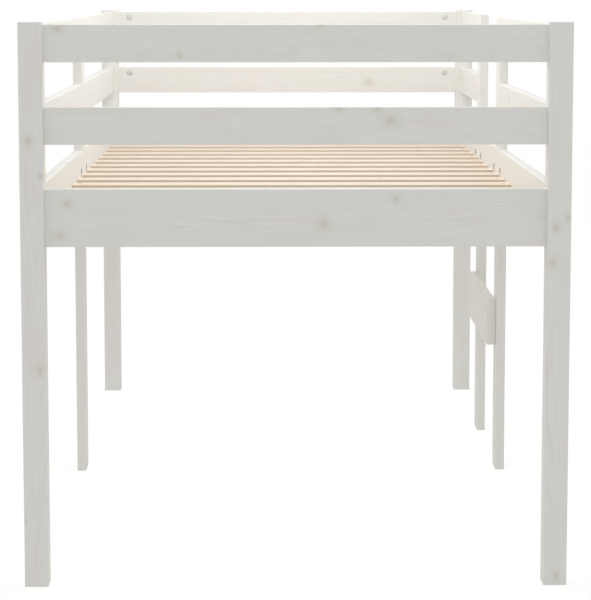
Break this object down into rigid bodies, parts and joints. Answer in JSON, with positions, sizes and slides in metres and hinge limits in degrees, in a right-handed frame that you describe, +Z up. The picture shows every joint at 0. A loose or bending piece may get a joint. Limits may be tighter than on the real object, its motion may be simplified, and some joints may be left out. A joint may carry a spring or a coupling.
{
  "type": "loft bed with ladder",
  "caption": "Mid-height single loft bed in white glazed pine, with guard rails all round, a slatted base and an upright side ladder with a flat step.",
  "frame": {"origin": "on the floor, under the middle of the bed", "axes": "+Z up; +Y along the bed from the foot end to the head end; +X towards the ladder side"},
  "size_m": [1.067, 2.067, 1.107],
  "materials": {
    "white_glazed_pine": "white glaze, satin, grain and knots show through",
    "natural_pine": "planed, untreated",
    "zinc_plated_steel": "zinc plated, satin"
  },
  "bodies": {
    "root": {"foot_end_board": "white_glazed_pine", "foot_end_middle_rail": "white_glazed_pine", "foot_end_top_rail": "white_glazed_pine", "foot_left_middle_rail_barrel_nut": "zinc_plated_steel", "foot_left_middle_rail_bolt": "zinc_plated_steel", "foot_left_post": "white_glazed_pine", "foot_left_top_rail_barrel_nut": "zinc_plated_steel", "foot_left_top_rail_bolt": "zinc_plated_steel", "foot_right_middle_rail_barrel_nut": "zinc_plated_steel", "foot_right_middle_rail_bolt": "zinc_plated_steel", "foot_right_post": "white_glazed_pine", "foot_right_top_rail_barrel_nut": "zinc_plated_steel", "foot_right_top_rail_bolt": "zinc_plated_steel", "head_end_board": "white_glazed_pine", "head_end_middle_rail": "white_glazed_pine", "head_end_top_rail": "white_glazed_pine", "head_left_middle_rail_barrel_nut": "zinc_plated_steel", "head_left_middle_rail_bolt": "zinc_plated_steel", "head_left_post": "white_glazed_pine", "head_left_top_rail_barrel_nut": "zinc_plated_steel", "head_left_top_rail_bolt": "zinc_plated_steel", "head_right_middle_rail_barrel_nut": "zinc_plated_steel", "head_right_middle_rail_bolt": "zinc_plated_steel", "head_right_post": "white_glazed_pine", "head_right_top_rail_barrel_nut": "zinc_plated_steel", "head_right_top_rail_bolt": "zinc_plated_steel", "ladder_foot_upright": "white_glazed_pine", "ladder_head_upright": "white_glazed_pine", "ladder_step": "white_glazed_pine", "left_centre_upright": "white_glazed_pine", "left_foot_board": "white_glazed_pine", "left_foot_middle_rail": "white_glazed_pine", "left_foot_top_rail": "white_glazed_pine", "left_head_board": "white_glazed_pine", "left_head_middle_rail": "white_glazed_pine", "left_head_top_rail": "white_glazed_pine", "left_slat_ledger": "natural_pine", "right_entry_board": "white_glazed_pine", "right_foot_board": "white_glazed_pine", "right_foot_middle_rail": "white_glazed_pine", "right_foot_top_rail": "white_glazed_pine", "right_head_board": "white_glazed_pine", "right_head_middle_rail": "white_glazed_pine", "right_head_top_rail": "white_glazed_pine", "right_slat_ledger": "natural_pine", "slat_01": "natural_pine", "slat_02": "natural_pine", "slat_03": "natural_pine", "slat_04": "natural_pine", "slat_05": "natural_pine", "slat_06": "natural_pine", "slat_07": "natural_pine", "slat_08": "natural_pine", "slat_09": "natural_pine", "slat_10": "natural_pine", "slat_11": "natural_pine", "slat_12": "natural_pine", "slat_13": "natural_pine", "slat_14": "natural_pine", "slat_15": "natural_pine"}
  },
  "joints": []
}
